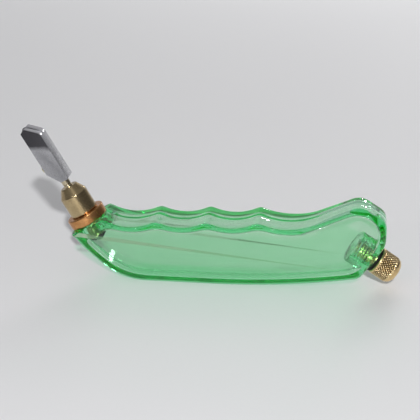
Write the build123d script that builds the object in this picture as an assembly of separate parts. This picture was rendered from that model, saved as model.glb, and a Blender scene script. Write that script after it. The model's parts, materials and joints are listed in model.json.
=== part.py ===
from build123d import *
import os
from math import cos, radians, sin, sqrt

# Hollow-handled, oil-fed glass cutter. Millimetres.
# +X runs from the cutting head to the filler cap, +Y is the width and +Z is up, with the finger
# grooves on top and the gently rounded back edge below. Z = 0 is the flat that it rests on, and
# the origin is the middle of the footprint of the whole tool.

# handle
half_width = 9.25
wall = 2.8
side_wall = 3.0
edge_round = 4.2
cavity_round = 1.6
belly_radius = 28.0
heel_radius = 330.0
heel_corner = 27.3
rear_x = 68.9
tail_point = (59.2, 5.3)
rear_low = (rear_x, 19.6)
rear_high = (rear_x, 29.63)
hump_apex = (58.47, 36.27)
rise_foot = (41.5, 28.55)
blank_top = 34.0
blank_top_step = 5.5
outline_radii = [belly_radius, belly_radius, heel_radius, 4.5, 8.0, 5.0, 7.0, 3.0, 5.0, 5.0]
front_belly = [(-51.4, 13.29), (-36.8, 0.0)]
front_slope = (-0.656, 0.755)

# finger grooves
groove_count = 3
first_peak = (-42.5, 26.5)
groove_pitch = 20.13
groove_rise = 0.67
groove_depth = 2.5
groove_flare = 1.9
flare_inset = 1.7
thumb_saddle = (30.2, 26.05)
thumb_radius = 28.0

# nose axis, on which the collar, spindle and head are stacked; heights are from the handle's face
nose_x = -49.9
nose_z = 23.04
nose_angle = 120.0
nose_block = 4.2
boss_radius = 5.5
boss_depth = 5.6

stub_radius = 3.5
stub_depth = 6.4
stub_clearance = 0.05
ring_radius = 7.9
ring_height = 4.0
ring_edge_round = 0.4
collar_radius = 5.65
collar_top = 12.7
cone_top = 16.4
cone_tip_radius = 3.6
spring_bore = 2.8
spring_bore_top = 9.6
clip_groove_depth = 0.35
clip_groove_low = -2.6
clip_height = 0.7
gland_radius = 2.6
gland_low = 12.2
gland_height = 1.2

spindle_radius = 1.7
spindle_clearance = 0.05
spindle_low = -8.3
spindle_top = 29.2
oil_bore = 0.6
oil_bore_low = -7.0
feed_height = -6.2
feed_radius = 0.45
stop_height = 0.6
stop_radius = 2.65
stop_groove_depth = 0.3
stop_gap = 0.9
seat_height = 0.8
seat_clearance = 0.05
retainer_width = 0.65
retainer_gap = 1.2
spring_turns = 7
spring_wire = 0.25
spring_coil_radius = 2.2
disc_radius = 2.9
disc_height = 0.7
disc_edge_round = 0.3
seal_height = 1.0
seal_radius = 3.45
seal_bore_clearance = 0.3
o_ring_clearance = 0.02
wick_low = -5.5
wick_clearance = 0.02
wick_shortfall = 0.2

# cutting head; x is across the head, away from the wheel edge, and heights are as above
head_low = 19.8
head_left = -3.9
head_right = 3.0
head_half_thickness = 3.65
head_peak = (-1.9, 45.5)
head_shoulder = (-3.9, 44.4)
head_corner = (3.0, 41.0)
head_cut_foot = (-0.4, 19.8)
head_cut_top = (-3.9, 25.2)
head_corner_round = 2.5
head_outline_radii = [0.0, 0.3, head_corner_round, 0.7, 0.5, 0.4]
head_bore_top = 29.6
head_bore_clearance = 0.03
slot_half_width = 0.55
slot_floor = [(-5.0, 41.2), (-0.5, 41.2), (1.2, 40.0), (4.0, 40.0)]
slot_top = 48.0
wheel_centre = (-2.45, 43.55)
wheel_radius = 2.0
wheel_half_width = 0.45
wheel_bevel = 0.35
wheel_edge_half = 0.02
wheel_clearance = 0.03
axle_radius = 0.5
axle_near = -2.4
axle_sink = 0.05
lock_height = 27.05
lock_thread_radius = 1.25
lock_head_radius = 1.6
lock_head_height = 1.6
lock_head_sink = 0.25
lock_dog_radius = 0.75
lock_dog_tip = 1.3
lock_clearance = 0.05
driver_slot_width = 0.5
driver_slot_depth = 0.3
dog_groove_clearance = 0.1
dog_half_angle = 35.0
dog_slack = 3.0
swivel_limit = 15.0

# filler cap axis; heights are from the seam between cap and gasket, positive outwards
cap_x = 65.55
cap_z = 11.35
cap_dip = 34.0
cap_radius = 5.6
cap_length = 9.8
cap_end_round = 2.6
cap_base_chamfer = 0.4
plug_radius = 3.15
plug_length = 9.0
gasket_radius = 5.3
gasket_height = 1.2
rim_radius = 5.4
rim_height = 0.6
neck_radius = 5.8
neck_bore = 3.25
neck_length = 11.0

# how far a cutter runs past the surface that it opens
overrun = 1.0
far_away = 200.0

nose = Plane(
    origin=(nose_x, 0, nose_z),
    x_dir=(sin(radians(nose_angle)), 0, -cos(radians(nose_angle))),
    z_dir=(cos(radians(nose_angle)), 0, sin(radians(nose_angle))),
)
cap_seat = Plane(
    origin=(cap_x, 0, cap_z),
    x_dir=(sin(radians(cap_dip)), 0, cos(radians(cap_dip))),
    z_dir=(cos(radians(cap_dip)), 0, -sin(radians(cap_dip))),
)


def rod(radius, low, high):
    """A cylinder about local Z between two heights."""
    return Pos(0, 0, low) * Cylinder(radius, high - low, align=(Align.CENTER, Align.CENTER, Align.MIN))


def tube(outer, inner, low, high):
    return rod(outer, low, high) - rod(inner, low, high)


def turned(points):
    """A solid of revolution about local Z from (radius, height) points."""
    outline = Polyline(*[(radius, 0, height) for radius, height in points], close=True)
    return revolve(make_face(outline), Axis.Z)


def upright_face(points, radii):
    """A face in the XZ plane with its corners rounded."""
    outline = FilletPolyline(*[(x, 0, z) for x, z in points], radius=radii, close=True)
    return make_face(outline)


def handle_blank(inset):
    """The handle before its grooves, with every side set in by the inset and its long edges rounded."""
    slope_x, slope_z = front_slope
    reach = (blank_top - front_belly[0][1]) / slope_z
    front_top = (front_belly[0][0] + slope_x * reach, blank_top)
    points = front_belly + [
        (heel_corner, 0.0),
        tail_point,
        rear_low,
        rear_high,
        hump_apex,
        rise_foot,
        (rise_foot[0] - blank_top_step, blank_top),
        front_top,
    ]
    face = upright_face(points, outline_radii)
    width = half_width
    rounding = edge_round
    if inset:
        face = offset(face, amount=-inset, kind=Kind.INTERSECTION)
        width = half_width - side_wall
        rounding = cavity_round
    blank = extrude(face, amount=width, dir=(0, 1, 0), both=True)
    sides = blank.faces().filter_by(Axis.Y)
    return fillet([edge for side in sides for edge in side.edges()], radius=rounding)


def groove_cutter(centre_x, centre_z, radius, width):
    """A cylinder across the handle whose ends flare out, which rounds the groove's side edges."""
    flare_start = width - flare_inset
    crossing = radius + groove_flare - sqrt(groove_flare**2 - flare_inset**2)
    end = width + overrun
    side = [
        Line((0, -end, 0), (0, end, 0)),
        Line((0, end, 0), (crossing, end, 0)),
        Line((crossing, end, 0), (crossing, width, 0)),
        RadiusArc((crossing, width, 0), (radius, flare_start, 0), -groove_flare),
        Line((radius, flare_start, 0), (radius, -flare_start, 0)),
        RadiusArc((radius, -flare_start, 0), (crossing, -width, 0), -groove_flare),
        Line((crossing, -width, 0), (crossing, -end, 0)),
        Line((crossing, -end, 0), (0, -end, 0)),
    ]
    return Pos(centre_x, 0, centre_z) * revolve(make_face(side), Axis.Y)


def grooves(extra, width):
    """All finger grooves and the thumb saddle, each enlarged by extra."""
    radius = ((groove_pitch / 2) ** 2 + groove_depth**2) / (2 * groove_depth)
    cutters = []
    for index in range(groove_count):
        middle_x = first_peak[0] + groove_pitch * (index + 0.5)
        middle_z = first_peak[1] + groove_rise * (index + 0.5) - groove_depth + radius
        cutters.append(groove_cutter(middle_x, middle_z, radius + extra, width))
    saddle_z = thumb_saddle[1] + thumb_radius
    cutters.append(groove_cutter(thumb_saddle[0], saddle_z, thumb_radius + extra, width))
    return cutters


def beyond(plane, height):
    """Everything past a height along a plane's axis, as one large block."""
    block = Box(far_away, far_away, far_away, align=(Align.CENTER, Align.CENTER, Align.MIN))
    return plane.location * Pos(0, 0, height) * block


def handle_outside():
    body = handle_blank(0.0)
    for cutter in grooves(0.0, half_width):
        body -= cutter
    body -= beyond(nose, 0.0)
    return body - beyond(cap_seat, -gasket_height - rim_height)


def reservoir():
    """The oil space inside the handle, less the bosses that reach into it."""
    space = handle_blank(wall)
    for cutter in grooves(wall, half_width - side_wall):
        space -= cutter
    space -= beyond(nose, -nose_block)
    space -= nose.location * rod(boss_radius, -boss_depth, 0)
    return space - beyond(cap_seat, -gasket_height - rim_height - wall)


def handle_shells():
    """The two acrylic halves, which meet on the mid plane."""
    body = handle_outside() - reservoir()
    body -= nose.location * rod(stub_radius + stub_clearance, -boss_depth - overrun, overrun)
    body -= cap_seat.location * rod(neck_radius, -neck_length, 0)
    near = Box(far_away, far_away, far_away, align=(Align.CENTER, Align.MAX, Align.CENTER))
    far = Box(far_away, far_away, far_away, align=(Align.CENTER, Align.MIN, Align.CENTER))
    return body & near, body & far


def nose_collar():
    low = -stub_depth
    groove_top = clip_groove_low + clip_height
    guide = spindle_radius + spindle_clearance
    collar = turned([
        (0, low),
        (stub_radius, low),
        (stub_radius, ring_height),
        (collar_radius, ring_height),
        (collar_radius, collar_top),
        (cone_tip_radius, cone_top),
        (0, cone_top),
    ])
    collar -= rod(spring_bore, low, spring_bore_top)
    collar -= rod(guide, low, cone_top)
    collar -= rod(spring_bore + clip_groove_depth, clip_groove_low, groove_top)
    return collar - rod(gland_radius, gland_low, gland_low + gland_height)


def collar_ring():
    ring = tube(ring_radius, stub_radius + stub_clearance, 0, ring_height)
    rims = ring.edges().filter_by(GeomType.CIRCLE).group_by(SortBy.RADIUS)[-1]
    return fillet(rims, radius=ring_edge_round)


def spindle():
    stem = rod(spindle_radius, spindle_low, spindle_top)
    stem -= rod(oil_bore, oil_bore_low, spindle_top)
    wide = spindle_radius + overrun
    stem -= Pos(0, 0, feed_height) * Rot(90, 0, 0) * Cylinder(feed_radius, 2 * wide)
    stop_low = spring_bore_top - stop_height
    stem -= tube(wide, spindle_radius - stop_groove_depth, stop_low, spring_bore_top)
    sweep_angle = dog_half_angle + swivel_limit + dog_slack
    groove_low = lock_height - lock_dog_radius - dog_groove_clearance
    height = 2 * (lock_dog_radius + dog_groove_clearance)
    sector = Cylinder(wide, height, arc_size=2 * sweep_angle, align=None)
    sector -= Cylinder(lock_dog_tip - dog_groove_clearance, height, align=None)
    return stem - Pos(0, 0, groove_low) * Rot(0, 0, 180 - sweep_angle) * sector


def spindle_clip():
    """Snap ring in the spindle's groove: the outward stop and the spring's thrust face."""
    low = spring_bore_top - stop_height
    ring = tube(stop_radius, spindle_radius - stop_groove_depth, low, spring_bore_top)
    return ring - Pos(stop_radius, 0, low) * Box(2 * spindle_radius, stop_gap, 2 * stop_height)


def spring_seat():
    low = clip_groove_low + clip_height
    return tube(spring_bore - seat_clearance, spindle_radius + 2 * seat_clearance, low, low + seat_height)


def retaining_ring():
    outer = spring_bore + clip_groove_depth - seat_clearance
    ring = tube(outer, spring_bore - retainer_width, clip_groove_low, clip_groove_low + clip_height)
    return ring - Pos(-outer, 0, clip_groove_low) * Box(outer, retainer_gap, 2 * clip_height)


def return_spring():
    low = clip_groove_low + clip_height + seat_height + spring_wire
    high = spring_bore_top - stop_height - spring_wire
    path = Pos(0, 0, low) * Helix((high - low) / spring_turns, high - low, spring_coil_radius)
    section = Plane(origin=path @ 0, z_dir=path % 0) * Circle(spring_wire)
    return sweep(section, path=path, is_frenet=True)


def spindle_o_ring():
    cord = (gland_radius - spindle_radius) / 2 - o_ring_clearance
    middle = gland_low + gland_height / 2
    return Pos(0, 0, middle) * Torus(spindle_radius + o_ring_clearance + cord, cord)


def valve_seal():
    bore = spindle_radius + seal_bore_clearance
    return tube(seal_radius, bore, -stub_depth - seal_height, -stub_depth)


def valve_disc():
    """Screwed on the inner end of the spindle: closes on the seal when the spring holds it out."""
    top = -stub_depth - seal_height
    disc = tube(disc_radius, spindle_radius, top - disc_height, top)
    rim = disc.edges().filter_by(GeomType.CIRCLE).group_by(SortBy.RADIUS)[-1].sort_by(Axis.Z)[0]
    return fillet(rim, radius=disc_edge_round)


def oil_wick():
    return rod(oil_bore - wick_clearance, wick_low, spindle_top - wick_shortfall)


def head_outline():
    points = [
        head_cut_foot,
        (head_right, head_low),
        head_corner,
        head_peak,
        head_shoulder,
        head_cut_top,
    ]
    return upright_face(points, head_outline_radii)


def cutter_head():
    head = extrude(head_outline(), amount=head_half_thickness, dir=(0, 1, 0), both=True)
    slot = slot_floor + [(slot_floor[-1][0], slot_top), (slot_floor[0][0], slot_top)]
    slot_face = make_face(Polyline(*[(x, 0, z) for x, z in slot], close=True))
    head -= extrude(slot_face, amount=slot_half_width, dir=(0, 1, 0), both=True)
    head -= rod(spindle_radius + head_bore_clearance, head_low - overrun, head_bore_top)
    across = Pos(wheel_centre[0], 0, wheel_centre[1]) * Rot(-90, 0, 0)
    head -= across * rod(axle_radius, axle_near, head_half_thickness + overrun)
    screw_line = Pos(0, 0, lock_height) * Rot(0, -90, 0)
    head_under = -head_left - lock_head_sink
    outside = -head_left + overrun
    head -= screw_line * rod(lock_thread_radius, lock_dog_tip, outside)
    return head - screw_line * rod(lock_head_radius + lock_clearance, head_under, outside)


def cutting_wheel():
    rim = wheel_radius - wheel_bevel
    wheel = turned([
        (axle_radius + wheel_clearance, -wheel_half_width),
        (rim, -wheel_half_width),
        (wheel_radius, -wheel_edge_half),
        (wheel_radius, wheel_edge_half),
        (rim, wheel_half_width),
        (axle_radius + wheel_clearance, wheel_half_width),
    ])
    return Pos(wheel_centre[0], 0, wheel_centre[1]) * Rot(90, 0, 0) * wheel


def wheel_axle():
    across = Pos(wheel_centre[0], 0, wheel_centre[1]) * Rot(-90, 0, 0)
    return across * rod(axle_radius, axle_near, head_half_thickness - axle_sink)


def head_lock_screw():
    """Its dog stands in the spindle's groove, which leaves the head free to swivel a little."""
    head_under = -head_left - lock_head_sink
    head_top = head_under + lock_head_height
    thread_low = spindle_radius + 3 * lock_clearance
    screw = rod(lock_head_radius, head_under, head_top)
    screw += rod(lock_thread_radius, thread_low, head_under)
    screw += rod(lock_dog_radius, lock_dog_tip, thread_low)
    screw -= Pos(0, 0, head_top) * Box(4 * lock_head_radius, driver_slot_width, 2 * driver_slot_depth)
    return Pos(0, 0, lock_height) * Rot(0, -90, 0) * screw


def filler_neck():
    """Threaded bush in the handle's lower rear corner; its rim is the gasket's seat."""
    neck = tube(neck_radius, neck_bore, -neck_length, -gasket_height - rim_height)
    return neck + tube(rim_radius, neck_bore, -gasket_height - rim_height, -gasket_height)


def cap_gasket():
    return tube(gasket_radius, plug_radius, -gasket_height, 0)


def filler_cap():
    shoulder = cap_length - cap_end_round
    outline = [
        Line((0, 0, 0), (cap_radius - cap_base_chamfer, 0, 0)),
        Line((cap_radius - cap_base_chamfer, 0, 0), (cap_radius, 0, cap_base_chamfer)),
        Line((cap_radius, 0, cap_base_chamfer), (cap_radius, 0, shoulder)),
        TangentArc((cap_radius, 0, shoulder), (cap_radius - cap_end_round, 0, cap_length),
                   tangent=(0, 0, 1)),
        Line((cap_radius - cap_end_round, 0, cap_length), (0, 0, cap_length)),
        Line((0, 0, cap_length), (0, 0, 0)),
    ]
    return revolve(make_face(outline), Axis.Z) + rod(plug_radius, -plug_length, 0)


shell_near, shell_far = handle_shells()

nose_parts = {
    "collar_ring": collar_ring(),
    "nose_collar": nose_collar(),
    "spindle_o_ring": spindle_o_ring(),
    "return_spring": return_spring(),
    "spring_seat": spring_seat(),
    "retaining_ring": retaining_ring(),
    "valve_seal": valve_seal(),
    "spindle": spindle(),
    "spindle_clip": spindle_clip(),
    "valve_disc": valve_disc(),
    "oil_wick": oil_wick(),
    "cutter_head": cutter_head(),
    "head_lock_screw": head_lock_screw(),
    "wheel_axle": wheel_axle(),
    "cutting_wheel": cutting_wheel(),
}
cap_parts = {
    "filler_neck": filler_neck(),
    "cap_gasket": cap_gasket(),
    "filler_cap": filler_cap(),
}

parts = {"handle_shell_near": shell_near, "handle_shell_far": shell_far}
for name, shape in nose_parts.items():
    parts[name] = nose.location * shape
for name, shape in cap_parts.items():
    parts[name] = cap_seat.location * shape

os.makedirs("parts", exist_ok=True)
for name, shape in parts.items():
    export_step(shape, f"parts/{name}.step")
    print(name, round(shape.volume, 2))
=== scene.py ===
import json
from math import acos, cos, exp, hypot, log, pi, radians, sin, sqrt, tan

import bmesh
import bpy
from mathutils import Matrix, Vector

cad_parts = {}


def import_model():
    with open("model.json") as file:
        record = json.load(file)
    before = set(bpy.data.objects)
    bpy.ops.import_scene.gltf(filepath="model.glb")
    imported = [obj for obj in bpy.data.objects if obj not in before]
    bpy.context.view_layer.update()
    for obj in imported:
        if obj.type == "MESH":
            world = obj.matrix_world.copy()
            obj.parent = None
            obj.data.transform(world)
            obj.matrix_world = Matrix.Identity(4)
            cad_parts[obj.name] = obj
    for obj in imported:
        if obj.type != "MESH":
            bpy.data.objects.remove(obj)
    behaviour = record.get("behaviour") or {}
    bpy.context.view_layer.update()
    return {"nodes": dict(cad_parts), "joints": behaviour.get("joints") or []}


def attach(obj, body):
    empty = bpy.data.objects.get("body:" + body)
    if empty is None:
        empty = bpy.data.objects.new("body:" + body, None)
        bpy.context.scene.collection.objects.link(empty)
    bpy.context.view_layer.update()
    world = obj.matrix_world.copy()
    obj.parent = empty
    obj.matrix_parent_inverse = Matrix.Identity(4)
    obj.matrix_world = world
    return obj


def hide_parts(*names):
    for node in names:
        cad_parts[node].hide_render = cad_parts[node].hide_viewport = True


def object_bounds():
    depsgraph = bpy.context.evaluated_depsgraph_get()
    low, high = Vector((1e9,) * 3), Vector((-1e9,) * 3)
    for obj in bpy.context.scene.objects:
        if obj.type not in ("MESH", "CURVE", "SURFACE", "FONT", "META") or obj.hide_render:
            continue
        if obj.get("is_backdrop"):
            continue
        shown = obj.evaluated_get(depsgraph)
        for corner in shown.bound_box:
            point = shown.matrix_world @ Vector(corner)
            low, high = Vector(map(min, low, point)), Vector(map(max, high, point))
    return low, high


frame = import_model()
joints = {joint["name"]: joint for joint in frame["joints"]}
mm = 0.001
print("frame loaded,", len(frame["nodes"]), "nodes")


def axisFrame(origin, axis, across):
    # local Z along the axis, local X as near to "across" as it can be
    zDir = Vector(axis).normalized()
    xDir = Vector(across)
    xDir = (xDir - zDir * xDir.dot(zDir)).normalized()
    yDir = zDir.cross(xDir)
    turn = Matrix((xDir, yDir, zDir)).transposed().to_4x4()
    return Matrix.Translation(origin) @ turn


noseAxis = Vector(joints["spindle_plunge"]["axis"]).normalized()
swivelHeight = 30 * mm  # the swivel's point is this far up the axis from the handle's nose face
noseOrigin = Vector(joints["head_swivel"]["pos_m"]) - noseAxis * swivelHeight
noseFrame = axisFrame(noseOrigin, noseAxis, (1, 0, 0))
capAxis = Vector(joints["cap_turn"]["axis"]).normalized()
capFrame = axisFrame(joints["cap_turn"]["pos_m"], capAxis, (0, 0, 1))
wheelFrame = axisFrame(joints["wheel_spin"]["pos_m"], (0, 1, 0), noseAxis)
lockFrame = axisFrame(joints["lock_screw_turn"]["pos_m"], joints["lock_screw_turn"]["axis"], noseAxis)


class Wire:
    # a socket of a material, so that shader maths can be written as plain sums
    def __init__(self, tree, socket=None):
        self.tree = tree
        self.socket = socket

    def make(self, kind, settings=None, sockets=None, out=0):
        node = self.tree.nodes.new(kind)
        for key, value in (settings or {}).items():
            setattr(node, key, value)
        for key, value in (sockets or {}).items():
            self.plug(node.inputs[key], value)
        return Wire(self.tree, node.outputs[out])

    def plug(self, target, value):
        if isinstance(value, Wire):
            self.tree.links.new(value.socket, target)
        else:
            target.default_value = value

    def maths(self, operation, first, second):
        return self.make("ShaderNodeMath", {"operation": operation}, {0: first, 1: second})

    def size(self):
        return self.maths("ABSOLUTE", self, 0.0)

    def over(self, other):
        return self.maths("GREATER_THAN", self, other)

    def orWith(self, other):
        return self.maths("MAXIMUM", self, other)

    def __add__(self, other):
        return self.maths("ADD", self, other)

    def __radd__(self, other):
        return self.maths("ADD", other, self)

    def __sub__(self, other):
        return self.maths("SUBTRACT", self, other)

    def __rsub__(self, other):
        return self.maths("SUBTRACT", other, self)

    def __mul__(self, other):
        return self.maths("MULTIPLY", self, other)

    def __rmul__(self, other):
        return self.maths("MULTIPLY", other, self)

    def clamped(self, low, high):
        # 0 below low, 1 above high
        sockets = {"Value": self, "From Min": low, "From Max": high}
        return self.make("ShaderNodeMapRange", {"clamp": True}, sockets)

    def mixed(self, first, second):
        # colours, by this wire as the factor
        settings = {"data_type": "RGBA"}
        return self.make("ShaderNodeMix", settings, {0: self, 6: first, 7: second}, out=2)


def startMaterial(name):
    material = bpy.data.materials.new(name)
    material.use_nodes = True
    tree = material.node_tree
    tree.nodes.clear()
    return material, Wire(tree)


def finishMaterial(wire, surface, volume=None):
    output = wire.tree.nodes.new("ShaderNodeOutputMaterial")
    wire.plug(output.inputs["Surface"], surface)
    if volume:
        wire.plug(output.inputs["Volume"], volume)


def noise(wire, scale, detail, roughness=0.55, stretch=(1, 1, 1)):
    # object coordinates in metres, so a scale of 1000 gives patches of about a millimetre
    place = wire.make("ShaderNodeTexCoord", out=3)
    mapped = wire.make("ShaderNodeMapping", {}, {"Vector": place, "Scale": stretch})
    sockets = {"Vector": mapped, "Scale": scale, "Detail": detail, "Roughness": roughness}
    return wire.make("ShaderNodeTexNoise", {}, sockets)


def vectorMaths(wire, operation, first, second=(0, 0, 0), out=0):
    return wire.make("ShaderNodeVectorMath", {"operation": operation}, {0: first, 1: second}, out=out)


def awayFrom(wire, origin):
    place = wire.make("ShaderNodeTexCoord", out=3)
    return vectorMaths(wire, "SUBTRACT", place, tuple(origin))


def alongAxis(wire, origin, axis):
    # height in millimetres above a point along an axis
    return vectorMaths(wire, "DOT_PRODUCT", awayFrom(wire, origin), tuple(axis), out=1) * (1 / mm)


def fromAxis(wire, origin, axis):
    # distance in millimetres from an axis
    side = vectorMaths(wire, "CROSS_PRODUCT", awayFrom(wire, origin), tuple(axis))
    return vectorMaths(wire, "LENGTH", side, out=1) * (1 / mm)


def bumped(wire, height, strength, depth=0.2 * mm):
    return wire.make("ShaderNodeBump", {}, {"Height": height, "Strength": strength, "Distance": depth})


def worn(wire, low=0.5, high=0.56):
    # 1 on outside edges, 0 elsewhere, by how much a surface bulges
    return wire.make("ShaderNodeNewGeometry", out=7).clamped(low, high)


def acrylicMaterial():
    look = {
        "roughness": 0.012,
        "scratched": 0.05,
        "index": 1.49,
        "absorbs": (0.03, 0.92, 0.45, 1),  # red goes first, then blue
        "density": 95.0,
        "shadowTint": (0.95, 0.98, 0.96, 1),
        "lastBounce": 6.5,  # after this many bounces inside the walls, light is let out
        "waviness": 0.10,
        "waveDepth": 2 * mm,
        "waveScale": 55,
        "scratchScale": 900,
        "scratchStretch": (0.12, 1, 1),
        "scratchDepth": 0.01,
        "smudgeScale": 140,
        "smudged": 0.02,
        "tintScale": 30,
        "tints": ((0.94, 0.94, 0.89, 1), (0.98, 0.96, 0.93, 1)),
    }
    material, wire = startMaterial("clearGreenAcrylic")
    wave = noise(wire, look["waveScale"], detail=1.5)
    scratch = noise(wire, look["scratchScale"], detail=6, roughness=0.7, stretch=look["scratchStretch"])
    marks = scratch.clamped(0.62, 0.75)
    smudge = noise(wire, look["smudgeScale"], detail=5).clamped(0.5, 0.8)
    rough = look["roughness"] + marks * look["scratched"] + smudge * look["smudged"]
    bump = bumped(wire, wave + scratch * look["scratchDepth"], look["waviness"], look["waveDepth"])
    tint = noise(wire, look["tintScale"], detail=2).mixed(*look["tints"])
    glass = wire.make("ShaderNodeBsdfPrincipled", {}, {
        "Base Color": tint,
        "Roughness": rough,
        "IOR": look["index"],
        "Transmission Weight": 1.0,
        "Normal": bump,
    })
    clear = wire.make("ShaderNodeBsdfTransparent", {}, {"Color": look["shadowTint"]})
    shadowRay = wire.make("ShaderNodeLightPath", out="Is Shadow Ray")
    softRay = wire.make("ShaderNodeLightPath", out="Is Diffuse Ray")
    deepRay = wire.make("ShaderNodeLightPath", out="Ray Depth").over(look["lastBounce"])
    through = shadowRay.orWith(softRay).orWith(deepRay)
    surface = wire.make("ShaderNodeMixShader", {}, {0: through, 1: glass, 2: clear})
    soak = wire.make("ShaderNodeVolumeAbsorption", {}, {
        "Color": look["absorbs"], "Density": look["density"],
    })
    finishMaterial(wire, surface, soak)
    return material


turning = {
    "ringScale": 9.0,
    "patchScale": 260,
    "speckScale": 1800,
    "specked": 0.5,
    "patinaRough": 0.14,
    "ringRough": 0.06,
    "edgePolish": 0.08,
    "ringDepth": 0.5,
    "speckDepth": 0.15,
}


def metalMaterial(name, look, origin, axis):
    # turned or drawn metal: tool marks round its axis, patina in patches, brighter worn edges
    material, wire = startMaterial(name)
    height = alongAxis(wire, origin, axis)
    rings = wire.make("ShaderNodeTexNoise", {"noise_dimensions": "1D"}, {
        "W": height * turning["ringScale"], "Scale": 1.0, "Detail": 5.0, "Roughness": 0.7,
    })
    patches = noise(wire, turning["patchScale"], detail=5, roughness=0.6)
    specks = noise(wire, turning["speckScale"], detail=3)
    patina = patches.clamped(0.42, 0.68)
    base = patina.mixed(look["colour"], look["patina"])
    base = (specks.clamped(0.60, 0.74) * turning["specked"]).mixed(base, look["dirtAndCutShade"])
    edge = worn(wire) * look["edge"]
    base = edge.mixed(base, look["bright"])
    if "cutRadius" in look:  # painted shade in the cuts of a knurl, in the dark dirt colour
        within = height.over(look["cutLow"]) * (1 - height.over(look["cutHigh"]))
        # the cuts of the knurl are painted dark as shade
        deep = 1 - fromAxis(wire, origin, axis).clamped(look["cutRadius"], look["tipRadius"])
        base = (deep * within).mixed(base, look["dirtAndCutShade"])
    rough = look["roughness"] + patina * turning["patinaRough"]
    rough = rough + rings * turning["ringRough"] - edge * turning["edgePolish"]
    bump = bumped(wire, rings * turning["ringDepth"] + specks * turning["speckDepth"], look["bump"])
    shader = wire.make("ShaderNodeBsdfPrincipled", {}, {
        "Base Color": base,
        "Metallic": 1.0,
        "Roughness": rough,
        "Normal": bump,
    })
    finishMaterial(wire, shader)
    return material


def platedMaterial():
    # bright plating, with a painted dark reflection towards the wheel end
    look = {
        # the first colour goes on the narrow faces, lighter as a painted reflection of the bright room
        "edges": (0.57, 0.57, 0.59, 1),
        "faces": (0.47, 0.47, 0.49, 1),
        "haze": (0.39, 0.39, 0.41, 1),
        "dark": (0.066, 0.064, 0.070, 1),
        "paintedEdgeShade": (0.10, 0.10, 0.105, 1),
        "faceDepth": 3.3,  # the broad faces lie further out than this from the middle
        "faceBlend": 0.25,
        "paintedDarkLow": 53.0,  # heights above the floor between which the painted dark reflection sets in
        "stainHigh": 54.8,
        "paintedDarkDrift": 3.0,
        "driftScale": 160,
        "cloudScale": 330,
        "drawnScale": 420,
        "drawnStretch": (1, 7, 1),
        "pitScale": 2600,
        "paintedEdgeShading": 0.5,
        "roughness": 0.20,
        "bump": 0.10,
    }
    material, wire = startMaterial("platedSteel")
    height = alongAxis(wire, (0, 0, 0), (0, 0, 1))
    outward = alongAxis(wire, (0, 0, 0), (0, 1, 0)).size()
    onFace = outward.clamped(look["faceDepth"], look["faceDepth"] + look["faceBlend"])
    drift = noise(wire, look["driftScale"], detail=3) * look["paintedDarkDrift"] - look["paintedDarkDrift"] / 2
    # painted dark reflection: the head is darker towards the wheel end, by height with a little drift
    stain = (height + drift).clamped(look["paintedDarkLow"], look["stainHigh"])
    cloud = noise(wire, look["cloudScale"], detail=5, roughness=0.65).clamped(0.4, 0.72)
    drawn = noise(wire, look["drawnScale"], detail=5, roughness=0.7, stretch=look["drawnStretch"])
    face = cloud.mixed(look["faces"], look["haze"])
    face = stain.mixed(face, look["dark"])
    # the narrow faces take the lighter colour, a painted reflection; the broad faces take the darker one
    base = onFace.mixed(look["edges"], face)
    # painted shade: the outside edges are painted darker, a dark line along them
    edge = worn(wire, 0.52, 0.60) * look["paintedEdgeShading"]
    base = edge.mixed(base, look["paintedEdgeShade"])
    rough = look["roughness"] + cloud * 0.10 + drawn * 0.08 - stain * 0.05
    pits = noise(wire, look["pitScale"], detail=2).clamped(0.66, 0.8)
    bump = bumped(wire, drawn * 0.6 - pits * 0.4, look["bump"])
    shader = wire.make("ShaderNodeBsdfPrincipled", {}, {
        "Base Color": base, "Metallic": 1.0, "Roughness": rough, "Normal": bump,
    })
    finishMaterial(wire, shader)
    return material


def rubberMaterial():
    look = {
        "colour": (0.003, 0.003, 0.0025, 1),
        "dust": (0.012, 0.011, 0.009, 1),
        "dustScale": 700,
        "skinScale": 2200,
        "roughness": 0.5,
        "dustRough": 0.25,
        "shine": 0.2,
        "bump": 0.25,
    }
    material, wire = startMaterial("blackRubber")
    dust = noise(wire, look["dustScale"], detail=5).clamped(0.52, 0.72)
    bump = bumped(wire, noise(wire, look["skinScale"], detail=3), look["bump"])
    shader = wire.make("ShaderNodeBsdfPrincipled", {}, {
        "Base Color": dust.mixed(look["colour"], look["dust"]),
        "Roughness": look["roughness"] + dust * look["dustRough"],
        "Normal": bump,
        "Specular IOR Level": look["shine"],
    })
    finishMaterial(wire, shader)
    return material


def feltMaterial():
    look = {
        "shade": (0.62, 0.56, 0.44, 1),
        "colour": (0.86, 0.82, 0.72, 1),
        "fibreScale": 2600,
        "fibreStretch": (1, 1, 0.3),
        "roughness": 0.85,
        "fibreRough": 0.1,
        "bump": 0.6,
    }
    material, wire = startMaterial("woolFelt")
    fibres = noise(wire, look["fibreScale"], detail=6, roughness=0.8, stretch=look["fibreStretch"])
    bump = bumped(wire, fibres, look["bump"])
    shader = wire.make("ShaderNodeBsdfPrincipled", {}, {
        "Base Color": fibres.clamped(0.35, 0.65).mixed(look["shade"], look["colour"]),
        "Roughness": look["roughness"] + fibres * look["fibreRough"],
        "Normal": bump,
    })
    finishMaterial(wire, shader)
    return material


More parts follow.
